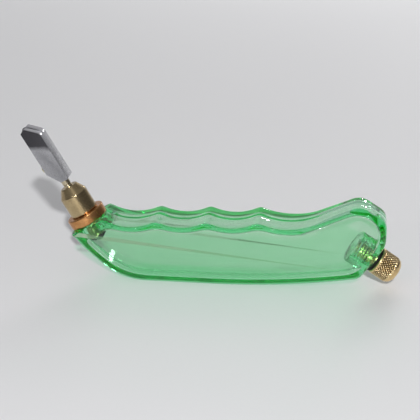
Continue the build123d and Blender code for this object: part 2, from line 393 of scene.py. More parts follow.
brassLook = {
    "colour": (0.53, 0.41, 0.23, 1),
    "patina": (0.37, 0.275, 0.145, 1),
    "dirtAndCutShade": (0.12, 0.09, 0.05, 1),
    "bright": (0.80, 0.70, 0.46, 1),
    "roughness": 0.14, "edge": 0.6, "bump": 0.08,
}
capBrassLook = {
    "colour": (0.86, 0.64, 0.32, 1),
    "patina": (0.62, 0.43, 0.20, 1),
    "dirtAndCutShade": (0.10, 0.06, 0.022, 1),
    "bright": (0.92, 0.76, 0.48, 1),
    "roughness": 0.24, "edge": 0.9, "bump": 0.10,
    "cutRadius": 5.25, "tipRadius": 5.55, "cutLow": 0.9, "cutHigh": 7.0,
}
copperLook = {
    "colour": (0.66, 0.33, 0.13, 1),
    "patina": (0.40, 0.18, 0.06, 1),
    "dirtAndCutShade": (0.11, 0.045, 0.016, 1),
    "bright": (0.80, 0.42, 0.18, 1),
    "roughness": 0.20, "edge": 0.5, "bump": 0.10,
}
stemLook = {
    "colour": (0.56, 0.53, 0.45, 1),
    "patina": (0.36, 0.33, 0.26, 1),
    "dirtAndCutShade": (0.12, 0.10, 0.07, 1),
    "bright": (0.80, 0.78, 0.70, 1),
    "roughness": 0.22, "edge": 0.6, "bump": 0.10,
}
stemBrassLook = {
    "colour": (0.52, 0.44, 0.29, 1),
    "patina": (0.30, 0.24, 0.14, 1),
    "dirtAndCutShade": (0.09, 0.07, 0.04, 1),
    "bright": (0.82, 0.76, 0.60, 1),
    "roughness": 0.16, "edge": 0.6, "bump": 0.08,
}
springLook = {
    "colour": (0.42, 0.42, 0.44, 1),
    "patina": (0.28, 0.27, 0.27, 1),
    "dirtAndCutShade": (0.08, 0.07, 0.06, 1),
    "bright": (0.66, 0.66, 0.68, 1),
    "roughness": 0.28, "edge": 0.4, "bump": 0.10,
}
carbideLook = {
    "colour": (0.20, 0.20, 0.22, 1),
    "patina": (0.12, 0.12, 0.13, 1),
    "dirtAndCutShade": (0.05, 0.05, 0.05, 1),
    "bright": (0.45, 0.45, 0.48, 1),
    "roughness": 0.20, "edge": 0.8, "bump": 0.08,
}
screwLook = {
    "colour": (0.52, 0.47, 0.24, 1),
    "patina": (0.33, 0.31, 0.15, 1),
    "dirtAndCutShade": (0.10, 0.09, 0.04, 1),
    "bright": (0.80, 0.74, 0.48, 1),
    "roughness": 0.24, "edge": 0.7, "bump": 0.10,
}

acrylic = acrylicMaterial()
plated = platedMaterial()
rubber = rubberMaterial()
felt = feltMaterial()
brass = metalMaterial("collarBrass", brassLook, noseOrigin, noseAxis)
capBrass = metalMaterial("capBrass", capBrassLook, capFrame.translation, capAxis)
copper = metalMaterial("copperRing", copperLook, noseOrigin, noseAxis)
stemSteel = metalMaterial("stemSteel", stemLook, noseOrigin, noseAxis)
stemBrass = metalMaterial("stemBrass", stemBrassLook, noseOrigin, noseAxis)
springSteel = metalMaterial("springSteel", springLook, noseOrigin, noseAxis)
carbide = metalMaterial("carbide", carbideLook, wheelFrame.translation, (0, 1, 0))
screwBrass = metalMaterial("screwBrass", screwLook, lockFrame.translation, noseAxis)
print("materials made")


def meshObject(name, points, faces, place=None):
    mesh = bpy.data.meshes.new(name)
    mesh.from_pydata([tuple(point) for point in points], [], faces)
    if place:
        mesh.transform(place)
    mesh.validate()
    thing = bpy.data.objects.new(name, mesh)
    bpy.context.scene.collection.objects.link(thing)
    return thing


def tidyNormals(thing):
    work = bmesh.new()
    work.from_mesh(thing.data)
    bmesh.ops.recalc_face_normals(work, faces=work.faces)
    work.to_mesh(thing.data)
    work.free()


def settle(thing, material, body, nodes=(), angle=30):
    # the last step for every piece: shading, finish, and what it moves with and stands for
    thing.data.materials.clear()
    thing.data.materials.append(material)
    thing.data.shade_smooth()
    thing.data.set_sharp_from_angle(angle=radians(angle))
    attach(thing, body)
    if nodes:
        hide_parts(*nodes)
    return thing


def applied(thing):
    # the mesh with its modifiers worked in
    evaluated = thing.evaluated_get(bpy.context.evaluated_depsgraph_get())
    mesh = bpy.data.meshes.new_from_object(evaluated)
    thing.modifiers.clear()
    old = thing.data
    thing.data = mesh
    bpy.data.meshes.remove(old)


def carve(thing, tool, operation="DIFFERENCE"):
    modifier = thing.modifiers.new("carve", "BOOLEAN")
    modifier.operation = operation
    modifier.solver = "EXACT"
    modifier.object = tool
    applied(thing)
    bpy.data.objects.remove(tool)


def soften(thing, width, segments, angle):
    modifier = thing.modifiers.new("soften", "BEVEL")
    modifier.width = width * mm
    modifier.segments = segments
    modifier.limit_method = "ANGLE"
    modifier.angle_limit = radians(angle)
    applied(thing)


def easeCorners(profile, ease, steps=3):
    # rounds every inner corner of an open profile of (radius, height) points
    most = 0.45  # the share of a side that one corner may take
    eased = [profile[0]]
    for before, here, after in zip(profile, profile[1:], profile[2:]):
        inX, inZ = before[0] - here[0], before[1] - here[1]
        outX, outZ = after[0] - here[0], after[1] - here[1]
        inLength, outLength = hypot(inX, inZ), hypot(outX, outZ)
        cut = min(ease, inLength * most, outLength * most)
        startX, startZ = here[0] + inX / inLength * cut, here[1] + inZ / inLength * cut
        endX, endZ = here[0] + outX / outLength * cut, here[1] + outZ / outLength * cut
        for step in range(steps + 1):
            t = step / steps
            a, b, c = (1 - t) ** 2, 2 * t * (1 - t), t * t
            eased.append((a * startX + b * here[0] + c * endX, a * startZ + b * here[1] + c * endZ))
    eased.append(profile[-1])
    return eased


def lathe(name, profile, place, turns=96, closed=False, shape=None):
    # profile in millimetres; an open one starts and ends on the axis
    # shape(angle, radius, height) gives a changed radius, for threads and knurls
    points = []
    faces = []
    rings = []
    for radius, height in profile:
        if radius < 1e-6:
            rings.append([len(points)])
            points.append((0, 0, height * mm))
            continue
        ring = []
        for turn in range(turns):
            angle = 2 * pi * turn / turns
            here = shape(angle, radius, height) if shape else radius
            ring.append(len(points))
            points.append((here * cos(angle) * mm, here * sin(angle) * mm, height * mm))
        rings.append(ring)
    pairs = list(zip(rings, rings[1:]))
    if closed:
        pairs.append((rings[-1], rings[0]))
    for low, high in pairs:
        for turn in range(turns):
            following = (turn + 1) % turns
            if len(low) == 1:
                faces.append((low[0], high[following], high[turn]))
            elif len(high) == 1:
                faces.append((low[turn], low[following], high[0]))
            else:
                faces.append((low[turn], low[following], high[following], high[turn]))
    thing = meshObject(name, points, faces, place)
    tidyNormals(thing)
    return thing


def ringLathe(name, outer, inner, low, high, place, ease=0.15, turns=96):
    middle = (low + high) / 2
    profile = [
        (outer, middle), (outer, high), (inner, high), (inner, low), (outer, low), (outer, middle),
    ]
    return lathe(name, easeCorners(profile, ease)[:-1], place, turns=turns, closed=True)


def threaded(pitch, depth, low, high, sharp=0.35):
    # a helical ridge between two heights, fading out at both ends
    def shape(angle, radius, height):
        if not low < height < high:
            return radius
        phase = (height / pitch - angle / (2 * pi)) % 1.0
        ridge = min(1.0, abs(phase - 0.5) * 2 / (1 - sharp))
        fade = min(1.0, (height - low) / pitch, (high - height) / pitch)
        return radius - depth * ridge * fade
    return shape


def fineProfile(profile, step):
    # splits long runs so that a thread has rings to stand on
    fine = [profile[0]]
    for before, here in zip(profile, profile[1:]):
        pieces = max(1, int(hypot(here[0] - before[0], here[1] - before[1]) / step))
        for piece in range(1, pieces + 1):
            t = piece / pieces
            fine.append((before[0] + (here[0] - before[0]) * t, before[1] + (here[1] - before[1]) * t))
    return fine


handle = {
    "halfWidth": 9.25,
    "wall": 2.8,
    "sideWall": 3.0,
    "edgeRound": 4.2,
    "grooveRound": 0.9,
    "noseRound": 0.7,
    "cavityRound": 0.8,
    "firstPeak": (-42.5, 26.5),
    "groovePitch": 20.13,
    "grooveRise": 0.67,
    "grooveDepth": 2.5,
    "grooves": 3,
    "ridgeBlend": 0.35,
    "saddle": (30.2, 26.05),
    "saddleRadius": 28.0,
    "frontSlope": (-0.656, 0.755),
    # corner x, corner z, its radius; from the nose along the back edge to the thumb rise
    "corners": [
        (-51.4, 13.29, 28.0), (-36.8, 0.0, 28.0), (27.3, 0.0, 330.0), (59.2, 5.3, 4.5),
        (68.9, 19.6, 8.0), (68.9, 29.63, 5.0), (58.47, 36.27, 7.0),
    ],
    "riseFoot": (41.5, 28.55),
    "step": 0.5,
    "levels": 15,
    "seamDepth": 0.035,
    "seamHalf": 0.07,
    "softening": 4,
    "cavitySoftening": 36,
    "margin": 0.25,
    "slopeRun": 20.0,
    "topStart": 47.0,  # the grooved top begins here and runs forward
    "topAbove": 20.0,  # anything lower belongs to the back edge
    "roundFrom": 27.0,  # from here to the rear, the top's rounding grows
    "roundRun": 24.0,
    "arcReach": 0.9,
    "backStop": 0.05,
    "topStop": 0.02,
    "noseBlock": 4.2,
    "noseBoss": 5.5,
    "noseBossDepth": 5.6,
    "noseBossEase": 0.6,
    "stubBore": 3.55,
    "neckRadius": 6.9,
    "neckLength": 11.0,
    "neckEase": 0.5,
    "neckBore": 3.25,
    "rimRadius": 5.4,
    "rimBore": 1.0,
    "rimEase": 0.2,
    "gasket": 1.2,
    "rim": 0.6,
    "threadPitch": 1.25,
    "threadDepth": 0.3,
    "threadStep": 0.12,
    "overlap": 1.0,
    "longEdge": 3.0,
    "flatAngle": 0.002,
    "skin": 0.06,  # what is left of the bores' outer ends, so that the cavity stays closed
}


def leftNormal(start, end):
    dx, dz = end[0] - start[0], end[1] - start[1]
    length = hypot(dx, dz)
    return (-dz / length, dx / length)


def crossing(p, pNormal, q, qNormal):
    # where two lines meet, each given by a point and a normal
    a, b = pNormal
    c, d = qNormal
    first = p[0] * a + p[1] * b
    second = q[0] * c + q[1] * d
    scale = a * d - b * c
    return ((first * d - b * second) / scale, (a * second - c * first) / scale)


def nosePoint(across, height):
    # handle-plane point from a distance across the nose axis and a height along it, in millimetres
    origin = noseOrigin / mm
    side = noseFrame.col[0].to_3d()
    spot = origin + side * across + noseAxis * height
    return (spot.x, spot.z)


def backCorners(inset):
    # the corner list from the nose plane to the foot of the thumb rise, set in by a distance
    slope = handle["frontSlope"]
    corners = [(x, z) for x, z, _ in handle["corners"]]
    radii = [radius for _, _, radius in handle["corners"]]
    start = (corners[0][0] + slope[0] * handle["slopeRun"], corners[0][1] + slope[1] * handle["slopeRun"])
    line = [start] + corners + [handle["riseFoot"]]
    normals = [leftNormal(a, b) for a, b in zip(line, line[1:])]

    def setIn(point, normal):
        return (point[0] + normal[0] * inset, point[1] + normal[1] * inset)

    moved = [setIn(point, normal) for point, normal in zip(line, normals)]
    inner = [crossing(moved[i], normals[i], moved[i + 1], normals[i + 1]) for i in range(len(corners))]
    last = setIn(line[-1], normals[-1])
    smallest = 0.4
    return [moved[0]] + inner + [last], [max(radius - inset, smallest) for radius in radii]


def roundedLine(points, radii, step):
    # straight runs joined by tangent arcs, sampled evenly
    path = [points[0]]
    for before, here, after, radius in zip(points, points[1:], points[2:], radii):
        inDir = Vector((here[0] - before[0], here[1] - before[1])).normalized()
        outDir = Vector((after[0] - here[0], after[1] - here[1])).normalized()
        turn = acos(max(-1, min(1, inDir.dot(outDir))))
        reach = radius * tan(turn / 2)
        start = Vector(here) - inDir * reach
        left = inDir.x * outDir.y - inDir.y * outDir.x > 0
        side = Vector((-inDir.y, inDir.x)) * (1 if left else -1)
        centre = start + side * radius
        count = max(3, int(radius * turn / step))
        for index in range(count + 1):
            angle = turn * index / count
            spoke = -side * cos(angle) + inDir * sin(angle)
            path.append(tuple(centre + spoke * radius))
    path.append(points[-1])
    return path


def topHeight(x, inset):
    # the grooved top: the lowest of the groove arcs and the line up to the hump
    depth = handle["grooveDepth"]
    half = handle["groovePitch"] / 2
    radius = (half**2 + depth**2) / (2 * depth)
    circles = []
    for index in range(handle["grooves"]):
        middleX = handle["firstPeak"][0] + handle["groovePitch"] * (index + 0.5)
        middleZ = handle["firstPeak"][1] + handle["grooveRise"] * (index + 0.5) - depth + radius
        circles.append((middleX, middleZ, radius + inset))
    saddleX, saddleZ = handle["saddle"]
    circles.append((saddleX, saddleZ + handle["saddleRadius"], handle["saddleRadius"] + inset))
    heights = []
    for centreX, centreZ, reach in circles:
        if abs(x - centreX) < reach * handle["arcReach"]:
            heights.append(centreZ - sqrt(reach**2 - (x - centreX) ** 2))
    # a soft minimum rounds the ridges between the grooves
    lowest, blend = min(heights), handle["ridgeBlend"]
    return lowest - blend * log(sum(exp((lowest - height) / blend) for height in heights))


def resample(path, step):
    # evenly spaced points that keep every real corner
    spaced = [path[0]]
    for before, here in zip(path, path[1:]):
        length = hypot(here[0] - before[0], here[1] - before[1])
        if length < 1e-6:
            continue
        pieces = max(1, round(length / step))
        for piece in range(1, pieces + 1):
            t = piece / pieces
            spaced.append((before[0] + (here[0] - before[0]) * t, before[1] + (here[1] - before[1]) * t))
    return spaced


def sideOutline(inset, noseDepth):
    # the closed side view, each point with the radius of the rounding beside it
    step = handle["step"]
    points, radii = backCorners(inset)
    back = roundedLine(points, radii, step)
    noseNormal = (noseAxis.x, noseAxis.z)
    nosePlane = nosePoint(0, -noseDepth)

    def ahead(point):
        return (point[0] - nosePlane[0]) * noseNormal[0] + (point[1] - nosePlane[1]) * noseNormal[1]

    slopeNormal = leftNormal(points[0], points[1])
    start = crossing(points[0], slopeNormal, nosePlane, noseNormal)
    back = [start] + [point for point in back if ahead(point) < -handle["backStop"]]
    riseNormal = leftNormal(points[-2], points[-1])
    while back and back[-1][0] < handle["topStart"] and back[-1][1] > handle["topAbove"]:
        back.pop()
    x = min(back[-1][0], handle["topStart"])
    top = []
    while True:
        lineZ = points[-1][1] - (x - points[-1][0]) * riseNormal[0] / riseNormal[1]
        z = topHeight(x, inset)
        if x > handle["riseFoot"][0]:
            z = min(z, lineZ)
        if ahead((x, z)) > -handle["topStop"]:
            break
        top.append((x, z))
        x -= step
    a, b = top[-1], (x, z)
    t = ahead(a) / (ahead(a) - ahead(b))
    top.append((a[0] + (b[0] - a[0]) * t, a[1] + (b[1] - a[1]) * t))
    loop = resample(back + top, step)
    noseRun = resample([loop[-1], start], step)
    rounds = []
    for px, pz in loop:
        blend = 1.0
        if pz > handle["topAbove"]:
            blend = max(0.0, min(1.0, (px - handle["roundFrom"]) / handle["roundRun"]))
        blend = blend * blend * (3 - 2 * blend)
        rounds.append(handle["grooveRound"] + (handle["edgeRound"] - handle["grooveRound"]) * blend)
    rounds += [handle["noseRound"]] * (len(noseRun) - 2)
    return loop + noseRun[1:-1], rounds


def insetRing(outline, rounds, limit, width, y):
    # the outline at one distance across the handle, set in by the rounding there
    def setIn(rounding):
        rounding = min(rounding, limit)
        over = abs(y) - (width - rounding)
        if over <= 0:
            return 0.0
        return rounding - sqrt(max(0.0, rounding**2 - over**2))

    count = len(outline)
    ring = []
    for index in range(count):
        before, here, after = outline[index - 1], outline[index], outline[(index + 1) % count]
        inNormal = leftNormal(before, here)
        outNormal = leftNormal(here, after)
        inStep = setIn((rounds[index - 1] + rounds[index]) / 2)
        outStep = setIn((rounds[index] + rounds[(index + 1) % count]) / 2)
        scale = inNormal[0] * outNormal[1] - inNormal[1] * outNormal[0]
        if abs(scale) > 0.2:
            p = (here[0] + inNormal[0] * inStep, here[1] + inNormal[1] * inStep)
            q = (here[0] + outNormal[0] * outStep, here[1] + outNormal[1] * outStep)
            ring.append(crossing(p, inNormal, q, outNormal))
            continue
        normal = Vector((inNormal[0] + outNormal[0], inNormal[1] + outNormal[1])).normalized()
        middle = (inStep + outStep) / 2
        ring.append((here[0] + normal.x * middle, here[1] + normal.y * middle))
    return ring


def softRing(ring, passes):
    for _ in range(passes):
        count = len(ring)
        ring = [
            (
                ring[i - 1][0] * 0.25 + ring[i][0] * 0.5 + ring[(i + 1) % count][0] * 0.25,
                ring[i - 1][1] * 0.25 + ring[i][1] * 0.5 + ring[(i + 1) % count][1] * 0.25,
            )
            for i in range(count)
        ]
    return ring


def slabMesh(name, outline, rounds, limit, width, seam, softening):
    # rings of the outline from one side to the other, closed by two flat faces
    levels = []
    for index in range(handle["levels"] + 1):
        angle = pi / 2 * index / handle["levels"]
        levels.append(width - limit * (1 - sin(angle)))
    middle = [handle["seamHalf"], levels[0] * 0.5] if seam else [levels[0] * 0.5]
    half = middle + levels
    spots = [-y for y in reversed(half)] + [0.0] + half
    points = []
    faces = []
    count = len(outline)
    for y in spots:
        ring = softRing(insetRing(outline, rounds, limit, width, y), softening)
        if seam and y == 0.0:
            ring = insetRing(ring, [seam] * count, seam, seam, seam)
        points += [(x * mm, y * mm, z * mm) for x, z in ring]
    for level in range(len(spots) - 1):
        for index in range(count):
            following = (index + 1) % count
            low, high = level * count, (level + 1) * count
            faces.append((low + index, low + following, high + following, high + index))
    # a narrow flat margin keeps the broad faces' shading flat right up to their rounded edges
    for end, low in ((-width, 0), (width, (len(spots) - 1) * count)):
        rim = [points[low + index] for index in range(count)]
        ring = [(x / mm, z / mm) for x, _, z in rim]
        margin = insetRing(ring, [handle["margin"]] * count, handle["margin"], width, width)
        first = len(points)
        points += [(x * mm, end * mm, z * mm) for x, z in margin]
        for index in range(count):
            following = (index + 1) % count
            faces.append((low + index, low + following, first + following, first + index))
        faces.append(tuple(range(first, first + count)))
    thing = meshObject(name, points, faces)
    tidyNormals(thing)
    return thing


def bossTool(name, radius, depth, ease, place):
    # a rounded plug from a depth up to the outer face
    profile = [(0, -depth), (radius, -depth), (radius, 0), (0, 0)]
    return lathe(name, easeCorners(profile, ease), place)


def handleAcrylic():
    # the outer shell with the neck's rim
    outline, rounds = sideOutline(0.0, 0.0)
    shell = slabMesh("handleAcrylic", outline, rounds, handle["edgeRound"], handle["halfWidth"],
                     handle["seamDepth"], handle["softening"])
    rimTop = -handle["gasket"]
    rimLow = rimTop - handle["rim"] - handle["overlap"]
    rim = ringLathe("rim", handle["rimRadius"], handle["rimBore"], rimLow, rimTop, capFrame,
                    ease=handle["rimEase"])
    carve(shell, rim, "UNION")

    # the cavity, less the bosses round the stub and the neck
    innerOutline, _ = sideOutline(handle["wall"], handle["noseBlock"])
    innerRounds = [handle["cavityRound"]] * len(innerOutline)
    innerWidth = handle["halfWidth"] - handle["sideWall"]
    cavity = slabMesh("cavity", innerOutline, innerRounds, handle["cavityRound"], innerWidth, 0,
                      handle["cavitySoftening"])
    carve(cavity, bossTool("noseBoss", handle["noseBoss"], handle["noseBossDepth"],
                           handle["noseBossEase"], noseFrame))
    carve(cavity, bossTool("neckBoss", handle["neckRadius"], handle["neckLength"],
                           handle["neckEase"], capFrame))

    # the threaded bore for the cap and the plain one for the stub
    neckLow, neckTop = -handle["neckLength"], rimTop - handle["skin"]
    wide = handle["neckBore"] + handle["threadDepth"]
    boreLine = fineProfile([(wide, neckLow - handle["overlap"]), (wide, neckTop)], handle["threadStep"])
    boreShape = threaded(handle["threadPitch"], handle["threadDepth"], neckLow, neckTop)
    boreProfile = [(0, boreLine[0][1])] + boreLine + [(0, neckTop)]
    carve(cavity, lathe("neckBoreCutter", boreProfile, capFrame, shape=boreShape), "UNION")
    stubLow, stubWide = -handle["noseBossDepth"] - handle["overlap"], handle["stubBore"]
    stubBore = [(0, stubLow), (stubWide, stubLow), (stubWide, -handle["skin"]), (0, -handle["skin"])]
    carve(cavity, lathe("stubBoreCutter", stubBore, noseFrame, turns=128), "UNION")

    work = bmesh.new()
    work.from_mesh(cavity.data)
    bmesh.ops.reverse_faces(work, faces=work.faces)
    work.from_mesh(shell.data)
    # the long thin faces of the flat discs at the bores' ends are joined
    flat, long = handle["flatAngle"], handle["longEdge"] * mm
    joins = [edge for edge in work.edges if edge.calc_length() > long and edge.calc_face_angle(1.0) < flat]
    bmesh.ops.dissolve_edges(work, edges=joins)
    work.to_mesh(shell.data)
    work.free()
    bpy.data.objects.remove(cavity)
    nodes = ("handle_shell_near", "handle_shell_far", "filler_neck")
    return settle(shell, acrylic, "handle", nodes, angle=32)


handleAcrylic()
print("handle made")


nose = {
    "ringRadius": 7.9,
    "ringBore": 3.56,
    "ringHeight": 4.0,
    "ringChamfer": 0.3,
    "collarRadius": 5.65,
    "collarStep": 0.14,
    "collarTop": 12.7,
    "coneTop": 16.4,
    "coneTip": 3.6,
    "stubRadius": 3.5,
    "stubDepth": 6.4,
    "stubPitch": 0.8,
    "stubThread": 0.3,
    "threadFrom": 3.2,  # only the outside is threaded, and the bores are narrower than this
    "springBore": 2.8,
    "springBoreTop": 9.6,
    "stemBore": 1.75,
    "glandRadius": 2.6,
    "glandLow": 12.2,
    "glandHigh": 13.4,
    "stemRadius": 1.7,
    "stemLow": -8.3,
    "stemTop": 29.2,
    "stemBoreLow": -7.0,
    "clipGroove": (9.0, 9.6),
    "clipGrooveDepth": 0.3,
    "wornBand": (17.0, 17.65),
    "wornBandDepth": 0.12,
    "screwGroove": (26.2, 27.9),
    "screwGrooveRadius": 1.2,
    "oilBore": 0.6,
    "sealRadius": 3.45,
    "sealBore": 2.0,
    "sealHeight": 1.0,
    "discRadius": 2.5,  # small enough to clear the cavity's corner when the spindle is in
    "discHeight": 0.7,
}


def collarRing():
    high, cut = nose["ringHeight"], nose["ringChamfer"]
    radius, bore = nose["ringRadius"], nose["ringBore"]
    profile = [
        (radius, high / 2), (radius, high - cut), (radius - cut, high), (nose["collarRadius"] + 0.4, high),
        (bore, high), (bore, 0), (radius - cut, 0), (radius, cut), (radius, high / 2),
    ]
    ring = lathe("collarRing", easeCorners(profile, 0.1)[:-1], noseFrame, turns=160, closed=True)
    return settle(ring, copper, "handle", ("collar_ring",))


def noseCollar():
    low, high = -nose["stubDepth"], nose["coneTop"]
    profile = [
        (nose["stubRadius"], -1.0), (nose["stubRadius"], nose["ringHeight"]),
        (nose["collarRadius"] - 0.3, nose["ringHeight"] + 0.01),
        (nose["collarRadius"], nose["ringHeight"] + 0.35),
        (nose["collarRadius"], nose["collarTop"]), (nose["coneTip"] + 0.1, high - 0.35),
        (nose["coneTip"] - 0.25, high), (nose["stemBore"], high), (nose["stemBore"], nose["glandHigh"]),
        (nose["glandRadius"], nose["glandHigh"]), (nose["glandRadius"], nose["glandLow"]),
        (nose["stemBore"], nose["glandLow"]), (nose["stemBore"], nose["springBoreTop"]),
        (nose["springBore"], nose["springBoreTop"]), (nose["springBore"], low), (nose["stubRadius"], low),
        (nose["stubRadius"], -1.0),
    ]
    eased = fineProfile(easeCorners(profile, 0.12), nose["collarStep"])[:-1]
    shape = threaded(nose["stubPitch"], nose["stubThread"], low + 0.3, -0.2)

    def outerOnly(angle, radius, height):
        return shape(angle, radius, height) if radius > nose["threadFrom"] else radius

    collar = lathe("noseCollar", eased, noseFrame, turns=128, closed=True, shape=outerOnly)
    return settle(collar, brass, "handle", ("nose_collar",), angle=35)


def stem():
    # turned stem with a waist where it leaves the collar and a groove for the head's screw
    radius, bore = nose["stemRadius"], nose["oilBore"]
    low, high = nose["stemLow"], nose["stemTop"]
    clipLow, clipHigh = nose["clipGroove"]
    clipRadius = radius - nose["clipGrooveDepth"]
    bandLow, bandHigh = nose["wornBand"]
    bandRadius = radius - nose["wornBandDepth"]
    screwLow, screwHigh = nose["screwGroove"]
    screwRadius = nose["screwGrooveRadius"]
    profile = [
        (0, low), (radius - 0.1, low), (radius, low + 0.1),
        (radius, clipLow), (clipRadius, clipLow), (clipRadius, clipHigh), (radius, clipHigh),
        (radius, bandLow), (bandRadius, bandLow + 0.15), (bandRadius, bandHigh - 0.15), (radius, bandHigh),
        (radius, screwLow), (screwRadius, screwLow), (screwRadius, screwHigh), (radius, screwHigh),
        (radius, high - 0.3), (radius - 0.3, high), (bore, high),
        (bore, 0.0), (bore, nose["stemBoreLow"]), (0, nose["stemBoreLow"]),
    ]
    line = easeCorners(profile, 0.06, steps=2)
    thing = lathe("spindleStem", line, noseFrame, turns=64)
    return settle(thing, stemBrass, "spindle", ("spindle",))


def valveParts():
    low = -nose["stubDepth"]
    top = low - nose["sealHeight"]
    seal = ringLathe("valveSeal", nose["sealRadius"], nose["sealBore"], top, low, noseFrame, ease=0.22)
    settle(seal, rubber, "handle", ("valve_seal",))
    disc = ringLathe("valveDisc", nose["discRadius"], nose["stemRadius"] + 0.01,
                     top - nose["discHeight"], top, noseFrame, ease=0.25)
    settle(disc, rubber, "spindle", ("valve_disc",))


collarRing()
noseCollar()
stem()
valveParts()
print("nose made")


head = {
    "low": 19.8,
    "halfThickness": 3.65,
    # x across, height, corner radius
    "outline": [
        (-0.4, 19.8, 0.25), (3.0, 19.8, 0.3), (3.0, 41.0, 2.5), (-1.9, 45.5, 0.7), (-3.9, 44.4, 0.5),
        (-3.9, 25.2, 0.4),
    ],
    "slot": [(-5, 41.2), (-0.5, 41.2), (1.2, 40.0), (4, 40.0), (4, 48), (-5, 48)],
    "slotHalf": 0.55,
    "edge": 0.16,
    "boreRadius": 1.73,
    "boreTop": 29.6,
    "wheelRadius": 2.0,
    "wheelHalf": 0.45,
    "wheelBevel": 0.35,
    "hubRadius": 1.1,
    "hubDrop": 0.06,
    "axleRadius": 0.5,
    "axleNear": -2.4,
    "screwShank": 1.25,
    "screwHead": 1.6,
    "screwHole": 1.27,
    "screwSeat": 1.66,
    "holeDepth": 1.0,
    "screwUnder": 3.65,
    "screwTop": 5.25,
    "screwTip": 1.3,
    "dogRadius": 0.75,
    "dogTop": 1.85,
    "driverSlot": 0.5,
    "driverDepth": 0.3,
    "driverTurn": 38,
}


def prism(name, outline, half, place):
    # an outline of (x, z) points pushed both ways along local Y
    count = len(outline)
    points = [(x * mm, y * mm, z * mm) for y in (-half, half) for x, z in outline]
    faces = [tuple(range(count)), tuple(range(2 * count - 1, count - 1, -1))]
    for index in range(count):
        following = (index + 1) % count
        faces.append((index, index + count, following + count, following))
    thing = meshObject(name, points, faces, place)
    tidyNormals(thing)
    return thing


def closedRounded(corners, step):
    points = [(x, z) for x, z, _ in corners]
    radii = [radius for _, _, radius in corners]
    middle = ((points[-1][0] + points[0][0]) / 2, (points[-1][1] + points[0][1]) / 2)
    return roundedLine([middle] + points + [middle], radii, step)[1:]


def cutterHead():
    body = prism("cutterHead", closedRounded(head["outline"], 0.12), head["halfThickness"], noseFrame)
    carve(body, prism("slotCutter", head["slot"], head["slotHalf"], noseFrame))
    past = 5.0  # cutters run on to here, outside the head
    low, wide, top = head["low"] - 1, head["boreRadius"], head["boreTop"]
    bore = [(0, low), (wide, low), (wide, top), (0, top)]
    carve(body, lathe("boreCutter", bore, noseFrame, turns=64))
    hole, depth = head["screwHole"], head["holeDepth"]
    seat, under = head["screwSeat"], head["screwUnder"]
    screwHole = [(0, depth), (hole, depth), (hole, under), (seat, under), (seat, past + 1), (0, past + 1)]
    carve(body, lathe("screwCutter", screwHole, lockFrame, turns=64))
    axle, near = head["axleRadius"], head["axleNear"]
    axleHole = [(0, near), (axle, near), (axle, past), (0, past)]
    carve(body, lathe("axleCutter", axleHole, wheelFrame, turns=40))
    soften(body, head["edge"], segments=3, angle=28)
    return settle(body, plated, "head", ("cutter_head",), angle=40)


def cuttingWheel():
    radius, half, bevel = head["wheelRadius"], head["wheelHalf"], head["wheelBevel"]
    bore = head["axleRadius"] + 0.03
    hub, low = head["hubRadius"], half - head["hubDrop"]
    profile = [
        (radius, 0.0), (radius - bevel, half), (hub, half), (hub - 0.1, low), (bore, low),
        (bore, -low), (hub - 0.1, -low), (hub, -half), (radius - bevel, -half), (radius, 0.0),
    ]
    line = easeCorners(profile, 0.04, steps=2)[:-1]
    wheel = lathe("cuttingWheel", line, wheelFrame, turns=128, closed=True)
    return settle(wheel, carbide, "wheel", ("cutting_wheel",), angle=25)


def wheelAxle():
    radius, low, high = head["axleRadius"] - 0.005, head["axleNear"], head["halfThickness"] - 0.05
    profile = [
        (0, low), (radius - 0.1, low), (radius, low + 0.1),
        (radius, high - 0.12), (radius - 0.12, high), (0, high),
    ]
    pin = lathe("wheelAxle", easeCorners(profile, 0.05), wheelFrame, turns=40)
    return settle(pin, stemSteel, "head", ("wheel_axle",))


def lockScrew():
    # its shank is left plain, as it never shows
    under, top, tip = head["screwUnder"], head["screwTop"], head["screwTip"]
    dog, dogTop, shank, wide = head["dogRadius"], head["dogTop"], head["screwShank"], head["screwHead"]
    profile = [
        (0, tip), (dog - 0.1, tip), (dog, tip + 0.1), (dog, dogTop), (shank, dogTop), (shank, under),
        (wide, under), (wide, top - 0.2), (wide - 0.2, top), (0, top),
    ]
    screw = lathe("headLockScrew", fineProfile(easeCorners(profile, 0.05), 0.1), lockFrame, turns=64)
    half, slotLow, slotTop = head["driverSlot"] / 2, top - head["driverDepth"], top + 1
    slot = [(-half, slotLow), (half, slotLow), (half, slotTop), (-half, slotTop)]
    turned = lockFrame @ Matrix.Rotation(radians(head["driverTurn"]), 4, "Z")
    carve(screw, prism("driverSlot", slot, 3, turned))
    return settle(screw, screwBrass, "lock_screw", ("head_lock_screw",), angle=35)


cutterHead()
cuttingWheel()
wheelAxle()
lockScrew()
print("head made")


cap = {
    "radius": 5.6,
    "length": 9.8,
    "endRound": 3.3,
    "endSteps": 18,
    "dimple": 1.9,
    "dimpleSlope": 0.3,
    "dimpleDepth": 0.08,
    "baseBand": 0.9,
    "knurlTop": 6.9,
    "fadeLow": 0.25,
    "fadeHigh": 0.35,
    "starts": 30,
    "lead": 40.0,
    "depth": 0.42,
    "tipFlat": 1.1,  # over 1 gives the diamonds small flat tops
    "around": 480,
    "up": 0.07,
    "plugRadius": 3.15,
    "plugLength": 9.0,
    "threadPitch": 1.25,
    "threadDepth": 0.3,
    "gasketRadius": 5.3,
    "gasket": 1.2,
}


def knurl(angle, height):
    # two crossing families of grooves leave small diamonds; 0 in a groove, 1 on a diamond's top
    rise = height / cap["lead"] * 2 * pi
    first = abs(sin(cap["starts"] / 2 * (angle + rise)))
    second = abs(sin(cap["starts"] / 2 * (angle - rise)))
    return min(1.0, min(first, second) * cap["tipFlat"])


